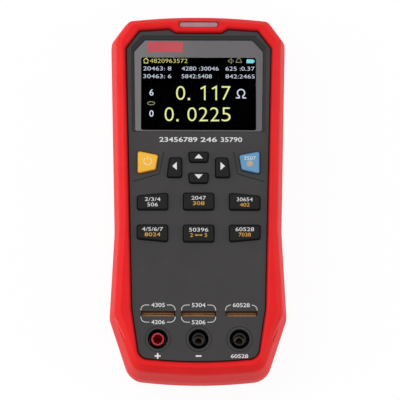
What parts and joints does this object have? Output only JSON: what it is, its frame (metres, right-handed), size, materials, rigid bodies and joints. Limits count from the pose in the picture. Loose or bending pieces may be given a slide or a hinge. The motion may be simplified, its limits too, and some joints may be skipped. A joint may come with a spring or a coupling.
{
  "type": "component tester",
  "caption": "Handheld component tester in a faceted elastomer boot, with a colour display, sprung keys, fixture slots, shrouded test sockets and a folding tilt stand.",
  "frame": {"origin": "middle of the footprint, on the surface that the tester lies on with its back down", "axes": "+X to the right and +Y to the display end, seen from the front; +Z out of the display"},
  "size_m": [0.098, 0.2064, 0.035],
  "materials": {
    "boot_red": "satin moulded red elastomer",
    "case_grey": "fine spark-eroded dark grey",
    "lens_grey": "clear pane with a grey printed border",
    "screen_black": "glossy black display",
    "foam_black": "black foam",
    "light_milky": "milky translucent",
    "mat_grey": "silicone sheet",
    "carbon_black": "carbon print",
    "board_green": "solder mask",
    "plated_steel": "bright zinc",
    "chip_black": "moulded black",
    "jack_red": "satin red",
    "jack_black": "satin black",
    "brass": "plain turned and rolled brass",
    "battery_wrap": "shrink wrap",
    "key_amber": "satin amber",
    "key_blue": "satin blue",
    "key_black": "satin black"
  },
  "bodies": {
    "case": {"battery_cover": "case_grey", "battery_cover_screws": "plated_steel", "battery_pack": "battery_wrap", "board_chips": "chip_black", "board_screws": "plated_steel", "buzzer": "chip_black", "case_screws": "plated_steel", "contact_pads": "carbon_black", "display_gasket": "foam_black", "display_lens": "lens_grey", "display_panel": "screen_black", "front_case": "case_grey", "jack_guard": "jack_black", "jack_negative": "jack_black", "jack_positive": "jack_red", "jack_sleeves": "brass", "main_board": "board_green", "protective_boot": "boot_red", "rear_case": "case_grey", "shield_can": "plated_steel", "slot_block": "jack_black", "slot_springs_guard": "brass", "slot_springs_high": "brass", "slot_springs_low": "brass", "status_led": "light_milky", "status_light_lens": "light_milky", "keypad_mat": "mat_grey"},
    "key_down_body": {"key_down": "key_black"},
    "key_function_1_body": {"key_function_1": "key_black"},
    "key_function_2_body": {"key_function_2": "key_black"},
    "key_function_3_body": {"key_function_3": "key_black"},
    "key_function_4_body": {"key_function_4": "key_black"},
    "key_function_5_body": {"key_function_5": "key_black"},
    "key_function_6_body": {"key_function_6": "key_black"},
    "key_left_body": {"key_left": "key_black"},
    "key_power_body": {"key_power": "key_amber"},
    "key_right_body": {"key_right": "key_black"},
    "key_trigger_body": {"key_trigger": "key_blue"},
    "key_up_body": {"key_up": "key_black"},
    "stand": {"tilt_stand": "case_grey"}
  },
  "joints": [
    {"name": "key_down_press", "type": "slide", "parent": "case", "child": "key_down_body", "axis": [0, 0, -1], "range_m": [0, 0.001], "stiffness_N_per_m": 1000, "springref_m": -0.0005},
    {"name": "key_function_1_press", "type": "slide", "parent": "case", "child": "key_function_1_body", "axis": [0, 0, -1], "range_m": [0, 0.001], "stiffness_N_per_m": 1000, "springref_m": -0.0005},
    {"name": "key_function_2_press", "type": "slide", "parent": "case", "child": "key_function_2_body", "axis": [0, 0, -1], "range_m": [0, 0.001], "stiffness_N_per_m": 1000, "springref_m": -0.0005},
    {"name": "key_function_3_press", "type": "slide", "parent": "case", "child": "key_function_3_body", "axis": [0, 0, -1], "range_m": [0, 0.001], "stiffness_N_per_m": 1000, "springref_m": -0.0005},
    {"name": "key_function_4_press", "type": "slide", "parent": "case", "child": "key_function_4_body", "axis": [0, 0, -1], "range_m": [0, 0.001], "stiffness_N_per_m": 1000, "springref_m": -0.0005},
    {"name": "key_function_5_press", "type": "slide", "parent": "case", "child": "key_function_5_body", "axis": [0, 0, -1], "range_m": [0, 0.001], "stiffness_N_per_m": 1000, "springref_m": -0.0005},
    {"name": "key_function_6_press", "type": "slide", "parent": "case", "child": "key_function_6_body", "axis": [0, 0, -1], "range_m": [0, 0.001], "stiffness_N_per_m": 1000, "springref_m": -0.0005},
    {"name": "key_left_press", "type": "slide", "parent": "case", "child": "key_left_body", "axis": [0, 0, -1], "range_m": [0, 0.001], "stiffness_N_per_m": 1000, "springref_m": -0.0005},
    {"name": "key_power_press", "type": "slide", "parent": "case", "child": "key_power_body", "axis": [0, 0, -1], "range_m": [0, 0.001], "stiffness_N_per_m": 1000, "springref_m": -0.0005},
    {"name": "key_right_press", "type": "slide", "parent": "case", "child": "key_right_body", "axis": [0, 0, -1], "range_m": [0, 0.001], "stiffness_N_per_m": 1000, "springref_m": -0.0005},
    {"name": "key_trigger_press", "type": "slide", "parent": "case", "child": "key_trigger_body", "axis": [0, 0, -1], "range_m": [0, 0.001], "stiffness_N_per_m": 1000, "springref_m": -0.0005},
    {"name": "key_up_press", "type": "slide", "parent": "case", "child": "key_up_body", "axis": [0, 0, -1], "range_m": [0, 0.001], "stiffness_N_per_m": 1000, "springref_m": -0.0005},
    {"name": "stand_swing", "type": "hinge", "parent": "case", "child": "stand", "pos_m": [0, 0.0208, 0.0022], "axis": [1, 0, 0], "range_deg": [0, 60]}
  ]
}
